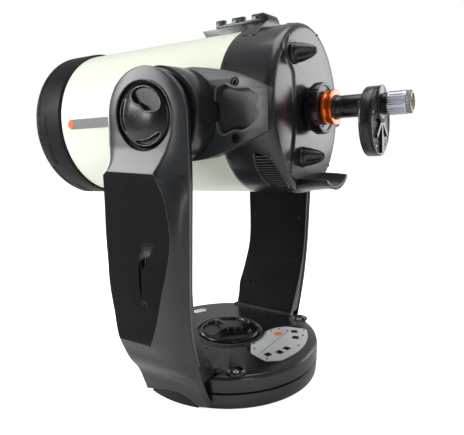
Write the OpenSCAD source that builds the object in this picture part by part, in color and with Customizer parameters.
// Fork-mounted Schmidt-Cassegrain telescope.
// Origin: centre of the underside of the base.  +Z is up, +X is towards the eyepiece end,
// and the altitude axis runs along Y.  "Left" is the -Y side, seen from behind the eyepiece.

/* [Optical tube] */
// Outside radius of the tube
tube_r = 158; // [150:0.5:158]
// Wall thickness of the tube
tube_wall = 2.5; // [2:0.5:3.5]
// Distance from the altitude axis to the front ring
tube_front = 323; // [300:1:340]
// Length of the front ring
ring_len = 79; // [70:1:85]
// Outside radius of the front ring
ring_r = 163; // [161:0.5:165]
// Distance from the altitude axis to the rear cell
cell_front = 75; // [70:1:80]
// Length of the rear cell
cell_len = 109; // [105:1:115]
// Height of the eyepiece end at rest, as a tilt of the tube
tube_tilt = 3.2; // [0:0.1:5]

/* [Fork] */
// Height of the altitude axis above the floor
alt_z = 556; // [550:1:565]
// Distance from the middle to a fork arm's inner face
arm_in = 241; // [238:1:244]
// Distance from the middle to the seam of a fork arm
arm_seam = 259; // [257:1:261]
// Distance from the middle to a fork arm's outer face
arm_out = 283; // [280:1:286]
// Radius of a fork arm's round head
head_r = 83; // [80:1:84]
// Wall thickness of the arm castings and covers
arm_wall = 5; // [4:0.5:6]

/* [Base] */
// Outside radius of the base
base_r = 198; // [194:1:200]
// Height of the groove between the fixed and the turning half
base_split = 33; // [31:1:35]
// Height of the base's upper edge
base_edge = 67; // [65:1:69]
// Height of the base's flat top
base_top = 75; // [74:1:77]
// Radius of the azimuth clutch knob
az_knob_r = 67; // [62:1:70]

/* [Drives and focus] */
// Teeth on each worm wheel
wheel_teeth = 180; // [180]
// Radius of the middle of the wheel's teeth
wheel_r = 62; // [60:1:64]
// Radius of the middle of the worm's thread
worm_r = 6; // [5:0.5:7]
// Radius of the altitude clutch knob
alt_knob_r = 53.5; // [50:0.5:55]
// Radius of the primary mirror
mirror_r = 140; // [136:1:142]

/* [Eyepiece end] */
// Radius of the visual back's tube
back_tube_r = 20.5; // [19:0.5:22]
// Radius of the filter wheel's housing
drum_r = 62; // [58:1:64]
// Thickness of the filter wheel's housing
drum_t = 24; // [22:1:26]
// Radius of the eyepiece
eye_r = 20.5; // [19:0.5:22]

/* [Hidden] */
$fn = 96;

pitch_deg = 360 / wheel_teeth;
thread_depth = 0.8;
mesh_gap = 0.2;
worm_pitch = 2 * PI * wheel_r / wheel_teeth;
cell_back = cell_front + cell_len;
ring_front = tube_front + ring_len;
bore_r = tube_r - tube_wall;
run_gap = 0.05;
spindle_r = 20;
trunnion_r = 22;
hub_r = 84;
hub_out = 236;
az_wheel_z = 54;
alt_wheel_y = 253;

// ---------- helpers ----------

// Puts a child drawn in tube coordinates (x back, y right, z up, on the altitude axis) in place
module on_tube() {
    translate([0, 0, alt_z])
        rotate([0, -tube_tilt, 0])
            children();
}

// Turns a child drawn along +Z so that it runs back along the tube, from station s
module along_tube(s = 0, y = 0, up = 0) {
    translate([s, y, up])
        rotate([0, 90, 0])
            children();
}

// A tube from z0 to z1
module ring(outer, inner, z0, z1) {
    translate([0, 0, z0])
        difference() {
            cylinder(r = outer, h = z1 - z0);
            translate([0, 0, -1])
                cylinder(r = inner, h = z1 - z0 + 2);
        }
}

// A disc with rounded rims
module round_disc(r, h, edge) {
    rotate_extrude()
        union() {
            square([r - edge, h]);
            translate([0, edge])
                square([r, h - 2 * edge]);
            translate([r - edge, edge])
                circle(r = edge, $fn = 32);
            translate([r - edge, h - edge])
                circle(r = edge, $fn = 32);
        }
}

// Points of a curve from a to b, drawn towards c
function bend(a, c, b, n = 10) =
    [for (i = [0 : n]) let (t = i / n) (1 - t) * (1 - t) * a + 2 * t * (1 - t) * c + t * t * b];

// Points of an arc round the origin
function arc(r, a0, a1, n = 12) =
    [for (i = [0 : n]) let (a = a0 + (a1 - a0) * i / n) r * [cos(a), sin(a)]];

function flip(points) = [for (i = [len(points) - 1 : -1 : 0]) points[i]];

// Draws the children and their mirror image on the other side
module both_sides() {
    children();
    mirror([0, 1, 0])
        children();
}

// ---------- base ----------

tripod_pcd = 150;
tripod_hole_r = 4.76;
pin_bore_r = 9;
stud_bore_r = 8;

module lower_base() {
    color("#26282b")
        difference() {
            union() {
                ring(base_r - 2, base_r - 8, 0, base_split - 1);
                ring(base_r - 5, pin_bore_r, 0, 6);
                ring(46, pin_bore_r, 0, 26);
                ring(95, 82, 5, 28);
                for (a = [30 : 120 : 270])
                    rotate([0, 0, a])
                        translate([tripod_pcd / 2, 0, 0])
                            cylinder(r = 11, h = 15);
            }
            for (a = [0 : 120 : 240])
                rotate([0, 0, a])
                    translate([165, 0, -1])
                        cylinder(r = 14, h = 4);
            for (a = [30 : 120 : 270])
                rotate([0, 0, a])
                    translate([tripod_pcd / 2, 0, -1])
                        cylinder(r = tripod_hole_r, h = 30);
        }
}

module base_feet() {
    color("#151515")
        for (a = [0 : 120 : 240])
            rotate([0, 0, a])
                translate([165, 0, 0])
                    cylinder(r = 14, h = 3);
}

module azimuth_spindle() {
    color("silver")
        difference() {
            union() {
                translate([0, 0, 26])
                    cylinder(r = 40, h = 5);
                translate([0, 0, 30])
                    cylinder(r = spindle_r, h = 40.8);
            }
            translate([0, 0, 20])
                cylinder(r = stud_bore_r, h = 60);
        }
}

module azimuth_bearing() {
    color("lightgray")
        ring(94, 83, 28, base_split + 1 - run_gap);
}

// Teeth drawn as a flat outline, four points to a tooth
module wheel_outline() {
    a = thread_depth;
    polygon([for (i = [0 : wheel_teeth - 1], k = [0 : 3])
        let (phase = [-30, 30, 150, 210][k], r = wheel_r + (k < 2 ? a : -a))
        r * [cos((i + phase / 360) * pitch_deg), sin((i + phase / 360) * pitch_deg)]]);
}

module worm_wheel(hub) {
    difference() {
        union() {
            linear_extrude(height = 6, center = true)
                wheel_outline();
            translate([0, 0, -4])
                cylinder(r = hub + 12, h = 8);
        }
        translate([0, 0, -10])
            cylinder(r = hub, h = 20);
        for (a = [0 : 60 : 300])
            rotate([0, 0, a])
                translate([wheel_r * 0.72, 0, -10])
                    cylinder(r = 9, h = 20);
    }
}

module azimuth_worm_wheel() {
    color("goldenrod")
        translate([0, 0, az_wheel_z])
            worm_wheel(spindle_r);
}

// ---------- turning base of the fork ----------

module foot_cut() {
    both_sides()
        translate([-76.5, 165, base_edge - 5])
            cube([153, 60, 40]);
}

module fork_base() {
    z0 = base_split + 1;
    color("#2b2d30") {
        ring(base_r, base_r - 6, z0, base_edge);
        ring(base_r - 5, spindle_r + run_gap, z0, z0 + 5);
        ring(30, spindle_r + run_gap, z0 + 4, z0 + 7);
    }
}

panel_r = 177;
panel_in = 80;

function panel_points(grow = 0) = concat(
    arc(panel_r + grow, -24, 33),
    [[103 - grow, 89 + grow], [85 - grow, 72 + grow], [74 - grow, 48 + grow]],
    flip(arc(panel_in - grow, -15, 22, 6)),
    [[73 - grow, -31], [95, -72 - grow], [138, -88 - grow]]);

module base_top_cover() {
    color("#2b2d30")
        difference() {
            union() {
                rotate_extrude()
                    polygon([[12, 71], [12, base_top], [70, base_top], [72, base_top + 4],
                        [79, base_top + 4], [84, base_top], [182, base_top],
                        [base_r - 1, base_edge + 1], [base_r, base_edge], [base_r - 8, base_edge],
                        [180, 71]]);
                // raised shoulders in front of each arm's foot
                intersection() {
                    both_sides()
                        translate([-62, 140, base_edge])
                            cube([124, 30, 14]);
                    cylinder(r = base_r - 6, h = 200);
                }
            }
            foot_cut();
            translate([0, 0, base_top - 1.5])
                linear_extrude(height = 10)
                    polygon(panel_points());
            for (p = port_places)
                translate([p[0], p[1], 60])
                    rotate([0, 0, p[2]])
                        translate([-7.5, -7.5, 0])
                            cube([15, 15, 30]);
            for (side = [-1, 1])
                translate([106, side * 150, base_top - 3.5])
                    cylinder(r = 11, h = 20);
        }
}

// Sockets: distance from the middle, bearing round the base
port_places = [for (p = [[147, 28.8], [150, 16.8], [150.5, -5.9], [150, -14.6], [143, -24.9]])
    [p[0] * cos(p[1]), p[0] * sin(p[1]), p[1]]];

module control_panel() {
    color("#b9bbbd")
        difference() {
            translate([0, 0, base_top - 1.5])
                linear_extrude(height = 1.8)
                    polygon(panel_points(-0.5));
            for (p = port_places)
                translate([p[0], p[1], 60])
                    rotate([0, 0, p[2]])
                        translate([-7.5, -7.5, 0])
                            cube([15, 15, 30]);
            translate([102.5, 40.7, 60])
                cylinder(r = 6, h = 30);
        }
}

module panel_sockets() {
    color("#0c0c0c")
        for (p = port_places)
            translate([p[0], p[1], 0])
                rotate([0, 0, p[2]])
                    difference() {
                        translate([-7.5, -7.5, base_top - 14])
                            cube([15, 15, 14.5]);
                        translate([-5.2, -5.2, base_top - 11])
                            cube([10.4, 10.4, 20]);
                    }
}

module status_lamp() {
    color("orangered")
        translate([102.5, 40.7, base_top - 1.5])
            cylinder(r = 6, h = 3);
}

// ---------- fork arms, drawn on the +Y side ----------

// Half outline of the arm seen from the side, from the shoulder down to the foot
arm_edge = [[84.5, 500], [85, 452], [82.5, 365], [79, 250], [77, 180], [76, 60]];
foot_edge = [[76, 16], [50, 6], [30, 19], [5, 28], [-17, 25], [-64, 13], [-76, 9]];

module arm_outline(inset = 0) {
    polygon(concat(
        [for (p = arc(head_r - inset, 180, 0, 40)) [p[0], p[1] + alt_z - 3]],
        [for (p = arm_edge) [p[0] - inset, p[1]]],
        [for (p = foot_edge) [p[0] * (1 - inset / 76), p[1] + inset]],
        [for (p = flip(arm_edge)) [inset - p[0], p[1]]]));
}

// Curves of the arm seen from the front: [y, z] from the head down to the foot
function outer_curve(k = 0) = concat(
    [[arm_seam + 0.6 - k, 640], [262 - k, 610], [266 - k, alt_z], [272 - k, 500], [arm_out - k, 462]],
    bend([arm_out - k, 262], [arm_out - k, 150], [196 - k * 0.7, 4]));
function seam_curve(k = 0, top = 640) = concat(
    [[arm_seam - k, top]],
    bend([arm_seam - k, 250], [arm_seam - k, 150], [199 - k, base_edge]));
function outer_low(k, top) = concat(
    [[arm_out - k, top]],
    bend([arm_out - k, 262], [arm_out - k, 150], [196 - k * 0.7, 4]));
function inner_curve(k = 0) = concat(
    [[arm_in + k, 640]],
    bend([arm_in + k, 245], [arm_in + k, 150], [165, 76 + k]),
    [[165, base_edge + k]]);

module side_extrude(curve_a, curve_b) {
    rotate([90, 0, 90])
        translate([0, 0, -120])
            linear_extrude(height = 240)
                polygon(concat(curve_a, flip(curve_b)));
}

module face_extrude(inset) {
    translate([0, 320, 0])
        rotate([90, 0, 0])
            linear_extrude(height = 200)
                arm_outline(inset);
}

module base_clearance() {
    translate([0, 0, -1])
        cylinder(r = base_r, h = base_edge + 1);
    translate([0, 0, -1])
        cylinder(r = base_r + 1, h = base_split + 1.5);
}

module arm_frame() {
    difference() {
        intersection() {
            side_extrude(inner_curve(), seam_curve());
            face_extrude(0.8);
        }
        intersection() {
            side_extrude(inner_curve(arm_wall), seam_curve(-2));
            face_extrude(arm_wall + 1);
            translate([-120, 200, 90])
                cube([240, 120, 600]);
        }
        translate([-120, 100, 0])
            cube([240, 200, base_edge]);
        // seat of the altitude bearing
        translate([0, 100, alt_z])
            rotate([-90, 0, 0])
                cylinder(r = 34, h = 200);
        for (p = arm_holes)
            translate([p[0], 200, p[1]])
                rotate([-90, 0, 0])
                    cylinder(r = 3, h = 60, $fn = 48);
    }
}

arm_holes = [[-66, 300], [60, 300], [-56, 130], [56, 190]];

module arm_cover(knob_hole, hole_from) {
    difference() {
        intersection() {
            side_extrude(concat(seam_curve(), [[165, base_edge], [165, 4]]), outer_curve());
            face_extrude(0);
        }
        intersection() {
            side_extrude(seam_curve(2, 498), concat([[266, 498]], outer_low(arm_wall, 462)));
            face_extrude(arm_wall);
            translate([-120, 200, 100])
                cube([240, 120, 600]);
        }
        base_clearance();
        translate([0, hole_from, alt_z])
            rotate([-90, 0, 0])
                cylinder(r = knob_hole, h = 90);
    }
}

module left_arm_frame() {
    color("#2e3033")
        mirror([0, 1, 0])
            arm_frame();
}

module right_arm_frame() {
    color("#2e3033")
        arm_frame();
}

holder_x = -10;
holder_w = 14;
holder_low = 232;
holder_tall = 84;

module left_arm_cover() {
    color("#1b1c1e")
        mirror([0, 1, 0])
            difference() {
                arm_cover(alt_knob_r + 1, 230);
                translate([holder_x, 240, holder_low])
                    cube([holder_w, 60, holder_tall]);
            }
}

module right_arm_cover() {
    color("#1b1c1e")
        arm_cover(alt_knob_r + 0.5, 262);
}

// Pocket for the hook on the hand control's back, let into the left arm
module hand_control_holder() {
    color("#101010")
        translate([holder_x, -arm_out + 1, holder_low])
            difference() {
                cube([holder_w, 18, holder_tall]);
                translate([3, -1, 4])
                    cube([holder_w - 6, 16, holder_tall]);
            }
}

module right_arm_cap() {
    color("#202225")
        translate([0, 262, alt_z])
            rotate([-90, 0, 0])
                difference() {
                    round_disc(alt_knob_r + 0.5, 9, 3);
                    translate([0, 0, -1])
                        cylinder(r = alt_knob_r - 6, h = 5);
                }
}

module altitude_bearings() {
    color("silver")
        both_sides()
            translate([0, arm_in, alt_z])
                rotate([-90, 0, 0])
                    ring(34, trunnion_r + run_gap, -1, 6);
}

module screw_head(r, h) {
    difference() {
        cylinder(r = r, h = h, $fn = 48);
        translate([0, 0, h * 0.4])
            cylinder(r = r * 0.5, h = h, $fn = 6);
    }
}

module fork_screws() {
    color("#111111") {
        both_sides()
            for (p = arm_holes)
                translate([p[0], 0, p[1]])
                    arm_screw(p[1]);
        for (side = [-1, 1])
            translate([106, side * 150, base_top - 3.5])
                screw_head(6, 4);
    }
}

// Inner face of the arm at a given height
function inner_y(z) = lookup(z, [for (p = flip(inner_curve())) [p[1], p[0]]]);

module arm_screw(z) {
    translate([0, inner_y(z) + 2.5, 0])
        rotate([90, 0, 0])
            cylinder(r = 3, h = 4, $fn = 48);
}

// ---------- drives ----------

worm_len = 14;

// Threaded part of a worm, along Z, with its shaft
module worm_body() {
    turns = worm_len / worm_pitch;
    translate([0, 0, -worm_len / 2])
        rotate([0, 0, 180 * turns])
            linear_extrude(height = worm_len, twist = 360 * turns, slices = round(turns * 10), $fn = 18)
                translate([thread_depth, 0])
                    circle(r = worm_r, $fn = 18);
    translate([0, 0, -worm_len / 2 - 8])
        cylinder(r = 3, h = 9);
    translate([0, 0, worm_len / 2 - 1])
        cylinder(r = 3, h = 9);
}

worm_reach = wheel_r + worm_r + mesh_gap;

module azimuth_worm() {
    color("gainsboro")
        translate([-worm_reach, 0, az_wheel_z])
            rotate([90, 0, 0])
                rotate([0, 0, 180])
                    worm_body();
}

module gear_motor(r, length) {
    cylinder(r = r, h = 4);
    translate([0, 0, 3])
        cylinder(r = r - 1, h = length);
    translate([0, 0, length])
        cylinder(r = r * 0.6, h = 8);
}

// Two bearing blocks for a worm, reaching from y0 to y1 across its shaft
module worm_blocks(y0, y1) {
    for (s = [-1, 1])
        translate([0, 0, s * (worm_len / 2 + 5)])
            difference() {
                translate([-5, y0, -2])
                    cube([10, y1 - y0, 4]);
                translate([0, 0, -5])
                    cylinder(r = 3 + run_gap, h = 10);
            }
}

module azimuth_motor() {
    color("dimgray")
        translate([-worm_reach, 0, az_wheel_z])
            rotate([90, 0, 0]) {
                worm_blocks(base_split + 6 - az_wheel_z, 8);
                translate([-6, 0, worm_len / 2 + 9])
                    gear_motor(12, 42);
            }
}

module altitude_worm_wheel() {
    color("goldenrod")
        translate([0, -alt_wheel_y, alt_z])
            rotate([90, 0, 0])
                worm_wheel(trunnion_r - 8 + run_gap);
}

module altitude_worm() {
    color("gainsboro")
        translate([0, -alt_wheel_y, alt_z - worm_reach])
            rotate([0, 90, 0])
                worm_body();
}

module altitude_motor() {
    color("dimgray")
        translate([0, -alt_wheel_y, alt_z - worm_reach])
            rotate([0, 90, 0]) {
                worm_blocks(-5, alt_wheel_y - arm_in - arm_wall);
                translate([0, -1, worm_len / 2 + 9])
                    gear_motor(7, 36);
            }
}

module control_board() {
    floor_z = base_split + 6;
    color("darkgreen")
        translate([92, -70, floor_z + 6])
            cube([70, 140, 2]);
    color("#222222")
        translate([104, -40, floor_z + 8])
            cube([24, 24, 3]);
    color("silver")
        for (x = [98, 156], y = [-64, 64])
            translate([x, y, floor_z])
                cylinder(r = 3, h = 6, $fn = 48);
}

// ---------- clutch knobs ----------

module kidney(r_in, r_out, half_angle, h) {
    linear_extrude(height = h)
        polygon(concat(arc(r_out, -half_angle, half_angle), flip(arc(r_in, -half_angle, half_angle))));
}

// A domed knob with three finger wells, the first at an angle
module clutch_knob(r, h, first) {
    difference() {
        rotate_extrude()
            polygon(concat([[0, 0], [r, 0], [r, h * 0.45]],
                bend([r - 1.5, h * 0.6], [r * 0.72, h], [0, h * 1.0], 8)));
        for (a = [0 : 120 : 240])
            rotate([0, 0, a + first])
                translate([0, 0, h * 0.4])
                    kidney(r * 0.42, r * 0.88, 44, h);
    }
}

module azimuth_clutch_knob() {
    color("#141516") {
        translate([0, 0, base_top + 1])
            clutch_knob(az_knob_r, 14, 101);
        translate([0, 0, 56])
            cylinder(r = stud_bore_r - run_gap, h = 22);
    }
}

module altitude_clutch_knob() {
    color("#1b1d1f")
        translate([0, -259, alt_z])
            rotate([90, 0, 0])
                clutch_knob(alt_knob_r, 17, 68);
    color("silver")
        translate([0, -238, alt_z])
            rotate([90, 0, 0])
                cylinder(r = 8, h = 22);
}

// ---------- tube cradle ----------

// Round hub with its trunnion, on the +Y side
module hub(trunnion_end) {
    rotate([-90, 0, 0])
        difference() {
            union() {
                translate([0, 0, bracket_out])
                    cylinder(r = hub_r, h = hub_out - bracket_out - 4);
                translate([0, 0, hub_out - 8])
                    cylinder(r = 50, h = 8 + 3.9);
                translate([0, 0, hub_out])
                    cylinder(r = trunnion_r, h = alt_wheel_y - 4 - run_gap - hub_out);
                translate([0, 0, hub_out])
                    cylinder(r = trunnion_r - 8, h = trunnion_end - hub_out);
            }
            translate([0, 0, bracket_out + 6])
                difference() {
                    cylinder(r = hub_r - 6, h = hub_out - bracket_out - 16);
                    cylinder(r = trunnion_r + 8, h = 100);
                }
            translate([0, 0, hub_out - 30])
                cylinder(r = 8 + run_gap, h = 100);
        }
}

module left_hub() {
    color("#2a2c2e")
        on_tube()
            mirror([0, 1, 0])
                hub(alt_wheel_y + 5);
}

module right_hub() {
    color("#2a2c2e")
        on_tube()
            hub(alt_wheel_y);
}

// Cradle bracket, on the +Y side: a plate cut to sit on the tube and the rear cell
bracket_back = 183;
bracket_out = 172;

module bracket_outline() {
    polygon(concat(
        arc(hub_r, 270, 90, 60),
        [[30, 83], [92, 72], [140, 56], [bracket_back, 34], [bracket_back, -34],
        [153, -46], [93, -68], [33, -82]]));
}

module bracket_recess() {
    polygon([[84, 41], [100, 47], [114, 39], [148, 36], [161, 25], [156, 6.5], [163, -4], [161, -13],
        [145, -27], [131, -32], [117, -29], [97, -37], [88, -35], [82, -12], [82, 21]]);
}

module bracket() {
    difference() {
        rotate([-90, 0, 0])
            mirror([0, 1, 0])
                difference() {
                    translate([0, 0, 120])
                        linear_extrude(height = bracket_out - 120)
                            bracket_outline();
                    translate([0, 0, bracket_out - 7])
                        linear_extrude(height = 20)
                            bracket_recess();
                    for (p = bracket_bolt_places)
                        translate([p[0], p[1], bracket_out - 6])
                            cylinder(r = 7.5, h = 20);
                }
        along_tube(-200)
            cylinder(r = tube_r, h = 500, $fn = 360);
    }
}

bracket_bolt_places = [[120, 48], [118, -45]];

module left_bracket() {
    color("#34373a")
        on_tube()
            mirror([0, 1, 0])
                bracket();
}

module right_bracket() {
    color("#34373a")
        on_tube()
            bracket();
}

module bracket_bolts() {
    color("#0f0f10")
        on_tube()
            both_sides()
                for (p = bracket_bolt_places)
                    translate([p[0], bracket_out - 6, p[1]])
                        rotate([-90, 0, 0])
                            screw_head(6, 5.5);
}

// ---------- optical tube ----------

module tube_shell() {
    color("#e3e8da")
        on_tube()
            along_tube()
                ring(tube_r, bore_r, -tube_front, cell_front);
}

module front_ring() {
    color("#232528")
        on_tube()
            along_tube() {
                difference() {
                    union() {
                        translate([0, 0, -ring_front])
                            round_disc(ring_r, ring_len, 4);
                        translate([0, 0, -tube_front - 1])
                            cylinder(r = bore_r, h = 21);
                    }
                    translate([0, 0, -ring_front - 1])
                        cylinder(r = 150, h = ring_len + 30);
                }
                ring(151, 141, -380, -375);
            }
}

module corrector_plate() {
    color("#cfe6ea", 0.35)
        on_tube()
            along_tube()
                ring(149.5, 46, -386, -380);
}

module corrector_retainer() {
    color("#1a1a1b")
        on_tube()
            along_tube()
                difference() {
                    ring(150, 142, -390, -386);
                    for (a = [0 : 60 : 300])
                        rotate([0, 0, a])
                            translate([146, 0, -395])
                                cylinder(r = 1.6, h = 12, $fn = 24);
                }
}

module secondary_cell() {
    color("#1c1c1d")
        on_tube()
            along_tube() {
                ring(50, 10, -394, -386);
                ring(46 - run_gap, 38, -387, -345);
                ring(46 - run_gap, 6, -366, -360);
            }
}

module secondary_mirror() {
    color("silver")
        on_tube()
            along_tube()
                translate([0, 0, -360])
                    cylinder(r = 38, h = 10);
}

module front_screws() {
    color("#0d0d0d")
        on_tube()
            along_tube() {
                for (a = [0 : 60 : 300])
                    rotate([0, 0, a])
                        translate([146, 0, -391.5]) {
                            cylinder(r = 3, h = 1.5, $fn = 32);
                            cylinder(r = 1.6, h = 5.5, $fn = 24);
                        }
                for (a = [0 : 120 : 240])
                    rotate([0, 0, a])
                        translate([30, 0, -398])
                            cylinder(r = 4, h = 4, $fn = 32);
            }
}

// ---------- rear cell ----------

vent_from = 31;
vent_to = 62;

// Ring sector on the underside of the barrel, on one side
module vent_sector(r0, r1, s0, s1, shrink = 0) {
    along_tube()
        intersection() {
            ring(r1, r0, s0, s1);
            linear_extrude(height = 400, center = true)
                polygon([[0, 0], 400 * bearing(vent_from + shrink), 400 * bearing(vent_to - shrink)]);
        }
}

// Unit vector, in a section of the tube, at an angle below the left side
function bearing(below) = [sin(below), -cos(below)];

clutch_upper = [-68, 96];
clutch_lower = [-43, -87];
focus_place = [78, 0];

module rear_cell() {
    color("#303336")
        on_tube()
            difference() {
                union() {
                    along_tube(cell_front)
                        round_disc(tube_r, cell_len, 9);
                    along_tube(cell_front - 20)
                        cylinder(r = bore_r, h = 25);
                    // raised band on the face, from top to bottom on the left
                    intersection() {
                        along_tube(cell_front)
                            cylinder(r = tube_r - 19, h = cell_len + 3);
                        translate([cell_back - 4, -95, -140])
                            cube([7, 30, 280]);
                    }
                    for (p = [clutch_upper, clutch_lower, focus_place])
                        along_tube(cell_back - 3, p[0], p[1])
                            cylinder(r = 20, h = 4);
                    along_tube(cell_back - 3)
                        cylinder(r = 42, h = 4);
                }
                // hollow
                along_tube(cell_front - 30)
                    cylinder(r = bore_r - 3, h = 30 + cell_len - 8);
                along_tube(cell_front - 40)
                    cylinder(r = 27, h = cell_len + 60);
                // room for the upper mirror clutch
                along_tube(cell_back + 1, clutch_upper[0], clutch_upper[1])
                    cylinder(r = 22, h = 10);
                for (p = [clutch_upper, clutch_lower, focus_place])
                    along_tube(cell_back - 30, p[0], p[1])
                        cylinder(r = 5 + run_gap, h = 60);
                both_sides()
                    vent_sector(tube_r - 8, tube_r + 3, 148, 172);
            }
}

module vent_grilles() {
    color("#0e0e0e")
        on_tube()
            both_sides()
                difference() {
                    vent_sector(tube_r - 7, tube_r - 1, 148, 172);
                    for (s = [150 : 3.6 : 170])
                        vent_sector(tube_r - 9, tube_r + 1, s, s + 1.8, 2);
                }
}

// Trough under the rear cell for the hand that carries the telescope.  It curls tighter
// towards its open end about a line under the tube, so its underside stays nearly level.
handle_under = 158;
handle_len = 53;
handle_curl = 0.664;
handle_half = 35;
handle_wide = 58;

module rear_handle() {
    color("#1d1e20")
        on_tube()
            intersection() {
                translate([cell_back, 0, -handle_under])
                    rotate([90, 0, 90])
                        linear_extrude(height = handle_len, scale = handle_curl)
                            translate([0, handle_under])
                                polygon(concat(
                                    arc(149, 270 - handle_half, 270 + handle_half, 24),
                                    flip(arc(140, 270 - handle_half, 270 + handle_half, 24))));
                translate([cell_back - 1, -handle_wide, -handle_under])
                    cube([handle_len + 2, 2 * handle_wide, 60]);
            }
}

module baffle_tube() {
    color("#101010")
        on_tube()
            along_tube() {
                ring(27, 24.5, -60, cell_back + 1);
                ring(40, 26, cell_back - 16, cell_back - 8);
            }
}

// ---------- finder mounting ----------

module finder_bracket() {
    color("#151617")
        on_tube()
            difference() {
                rotate([90, 0, 90])
                    translate([0, 0, 62])
                        linear_extrude(height = 56)
                            polygon([[-84, 130], [-32, 168], [32, 168], [84, 130], [84, 100], [-84, 100]]);
                along_tube(0)
                    cylinder(r = tube_r, h = 300, $fn = 360);
            }
}

module finder_rail() {
    color("#59605b")
        on_tube()
            difference() {
                rotate([90, 0, 0])
                    translate([0, 0, -30])
                        linear_extrude(height = 60)
                            polygon([[-16, 150], [-28, 168], [61.9, 168], [61.9, 150]]);
                along_tube(-100)
                    cylinder(r = tube_r, h = 300, $fn = 360);
            }
}

module finder_shoe() {
    color("#2b2e30")
        on_tube()
            difference() {
                rotate([90, 0, 0])
                    translate([0, 0, -30])
                        linear_extrude(height = 60)
                            polygon([[4, 168], [4, 182], [96, 184], [112, 176], [116, 168]]);
                // dovetail slot for the finder
                rotate([90, 0, 90])
                    linear_extrude(height = 200)
                        polygon([[-22, 171], [-17, 190], [17, 190], [22, 171]]);
            }
}

module tube_nameplate() {
    color("#6d706c")
        on_tube()
            difference() {
                translate([-292, -tube_r - 1.5, -10])
                    cube([112, 8, 20]);
                along_tube(-350)
                    cylinder(r = tube_r, h = 300, $fn = 360);
            }
}

// ---------- moving mirror and focus ----------

mirror_s = 96;
mirror_curve = 1120;
mirror_dish = mirror_curve - sqrt(mirror_curve * mirror_curve - mirror_r * mirror_r);

module mirror_carrier() {
    color("silver")
        on_tube()
            along_tube() {
                ring(36, 27 + run_gap, 60, 150);
                ring(110, 27 + run_gap, mirror_s + 24, mirror_s + 29);
            }
}

module primary_mirror() {
    color("#dfe7ee")
        on_tube()
            along_tube()
                difference() {
                    ring(mirror_r, 36, mirror_s, mirror_s + 24);
                    translate([0, 0, mirror_s + mirror_dish - mirror_curve])
                        sphere(r = mirror_curve, $fn = 180);
                }
}

module focus_knob() {
    color("#151515")
        on_tube()
            along_tube(cell_back + 1 + run_gap, focus_place[0], focus_place[1]) {
                translate([0, 0, 0])
                    round_disc(14, 26, 2);
                translate([0, 0, -14])
                    cylinder(r = 5, h = 16);
            }
}

module cone_knob() {
    rotate_extrude()
        polygon(concat([[0, 0], [19, 0], [19, 7]],
            bend([17.6, 7.5], [14.5, 36], [4.5, 43], 8), [[0, 44]]));
    translate([0, 0, -14])
        cylinder(r = 5, h = 16);
}

module mirror_clutch_upper() {
    color("#2c2e30")
        on_tube()
            along_tube(cell_back + 1 + run_gap, clutch_upper[0], clutch_upper[1])
                cone_knob();
}

module mirror_clutch_lower() {
    color("#2c2e30")
        on_tube()
            along_tube(cell_back + 1 + run_gap, clutch_lower[0], clutch_lower[1])
                cone_knob();
}

// ---------- visual back, filter wheel and eyepiece ----------

back_face = 217;
colour_end = 237;
drum_s = 296;
drum_up = -30;
pocket_r = 16;

module back_locking_ring() {
    color("#0c0c0d")
        on_tube()
            along_tube()
                difference() {
                    rotate_extrude()
                        polygon([[26, cell_back + 1], [38, cell_back + 1], [46, cell_back + 13],
                            [46.5, cell_back + 13], [48, 200], [48, back_face - 2],
                            [46, back_face], [26, back_face]]);
                    translate([0, 0, cell_back - 5])
                        cylinder(r = 27, h = 6.05);
                }
}

module back_colour_ring() {
    color("#e8601c")
        on_tube()
            along_tube()
                rotate_extrude()
                    polygon([[back_tube_r, back_face], [30, back_face], [29, 230],
                        [33, colour_end - 2], [33, colour_end], [back_tube_r, colour_end]]);
}

module visual_back() {
    color("#0b0b0c")
        on_tube()
            along_tube()
                difference() {
                    union() {
                        ring(back_tube_r, 16.5, back_face - 10, drum_s);
                        ring(26, 16.5, back_face - 10, back_face);
                    }
                    // flat wrench facet on the left
                    translate([-12, -back_tube_r - 10, 252])
                        cube([24, 11.5, 32]);
                }
}

module drum_disc(s0, s1, r) {
    translate([s0, 0, drum_up])
        rotate([0, 90, 0])
            cylinder(r = r, h = s1 - s0);
}

module filter_wheel_body() {
    color("#18191a")
        on_tube()
            difference() {
                drum_disc(drum_s, drum_s + drum_t - 5, drum_r);
                drum_disc(drum_s + 5, drum_s + drum_t, drum_r - 4);
                along_tube(drum_s - 5)
                    cylinder(r = pocket_r, h = 20);
                along_tube(drum_s - 5, 0, drum_up)
                    cylinder(r = 4 + run_gap, h = 20);
            }
}

module filter_wheel_cover() {
    color("#26292a")
        on_tube()
            difference() {
                union() {
                    drum_disc(drum_s + drum_t - 5, drum_s + drum_t, drum_r);
                    // roof-shaped rib and upright
                    translate([drum_s + drum_t - 1, 0, drum_up - 8])
                        rotate([90, 0, 90])
                            linear_extrude(height = 3)
                                polygon([[-34, -14], [0, 14], [34, -14], [34, -19], [4, 5],
                                    [4, -48], [-4, -48], [-4, 5], [-34, -19]]);
                }
                along_tube(drum_s - 5)
                    cylinder(r = pocket_r, h = 60);
                along_tube(drum_s + drum_t)
                    cylinder(r = 33, h = 10);
                along_tube(drum_s - 5, 0, drum_up)
                    cylinder(r = 4 + run_gap, h = 30);
            }
}

module filter_carousel() {
    color("#3b3b3c")
        on_tube()
            difference() {
                union() {
                    drum_disc(drum_s + 7, drum_s + drum_t - 7, drum_r - 5);
                    drum_disc(drum_s + 1, drum_s + drum_t - 1, 4);
                }
                for (a = [0 : 72 : 288])
                    translate([0, 0, drum_up])
                        rotate([a, 0, 0])
                            translate([drum_s, 0, -drum_up])
                                rotate([0, 90, 0])
                                    cylinder(r = 14, h = 40);
            }
}

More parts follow.
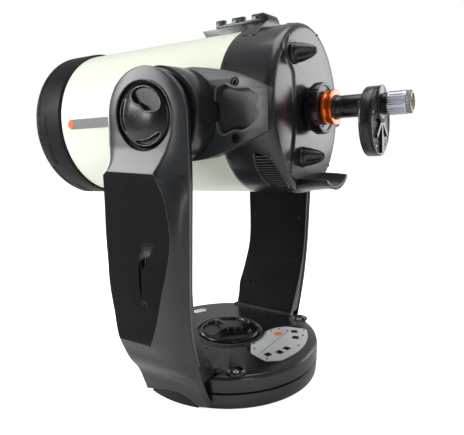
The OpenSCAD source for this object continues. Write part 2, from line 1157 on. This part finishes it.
module eyepiece_holder() {
    color("#8d9090")
        on_tube()
            along_tube() {
                ring(33, 16, drum_s + drum_t, drum_s + drum_t + 3);
                difference() {
                    ring(18.5, 16, drum_s + drum_t + 2, drum_s + drum_t + 12);
                    translate([0, 10, screw_s])
                        rotate([-90, 0, 0])
                            cylinder(r = 2 + run_gap, h = 20, $fn = 48);
                }
            }
}

eye_s = 333;
screw_s = 327;

module eyepiece() {
    color("#c9ccd0")
        on_tube()
            along_tube() {
                ring(16 - run_gap, 13, drum_s + drum_t + 1, eye_s + 1);
                difference() {
                    ring(eye_r, 9, eye_s, 373);
                    for (a = [0 : 30 : 330])
                        rotate([0, 0, a])
                            translate([eye_r + 0.6, 0, eye_s + 2])
                                cylinder(r = 1.6, h = 32, $fn = 24);
                }
                translate([0, 0, 350])
                    cylinder(r = 9.5, h = 6);
            }
}

module eyepiece_thumbscrew() {
    color("silver")
        on_tube()
            translate([screw_s, 16, 0])
                rotate([-90, 0, 0]) {
                    cylinder(r = 2, h = 6, $fn = 48);
                    translate([0, 0, 5])
                        round_disc(4, 8, 0.8);
                }
}

lower_base();
base_feet();
azimuth_spindle();
azimuth_bearing();
azimuth_worm_wheel();
fork_base();
base_top_cover();
control_panel();
panel_sockets();
status_lamp();
left_arm_frame();
left_arm_cover();
right_arm_frame();
right_arm_cover();
altitude_bearings();
hand_control_holder();
right_arm_cap();
fork_screws();
altitude_motor();
azimuth_motor();
control_board();
azimuth_clutch_knob();
azimuth_worm();
altitude_clutch_knob();
altitude_worm();
left_hub();
right_hub();
altitude_worm_wheel();
left_bracket();
right_bracket();
bracket_bolts();
tube_shell();
front_ring();
corrector_plate();
corrector_retainer();
secondary_cell();
secondary_mirror();
front_screws();
rear_cell();
rear_handle();
vent_grilles();
baffle_tube();
finder_bracket();
finder_rail();
finder_shoe();
tube_nameplate();
mirror_carrier();
primary_mirror();
focus_knob();
mirror_clutch_upper();
mirror_clutch_lower();
back_locking_ring();
back_colour_ring();
visual_back();
filter_wheel_body();
filter_wheel_cover();
filter_carousel();
eyepiece_holder();
eyepiece();
eyepiece_thumbscrew();
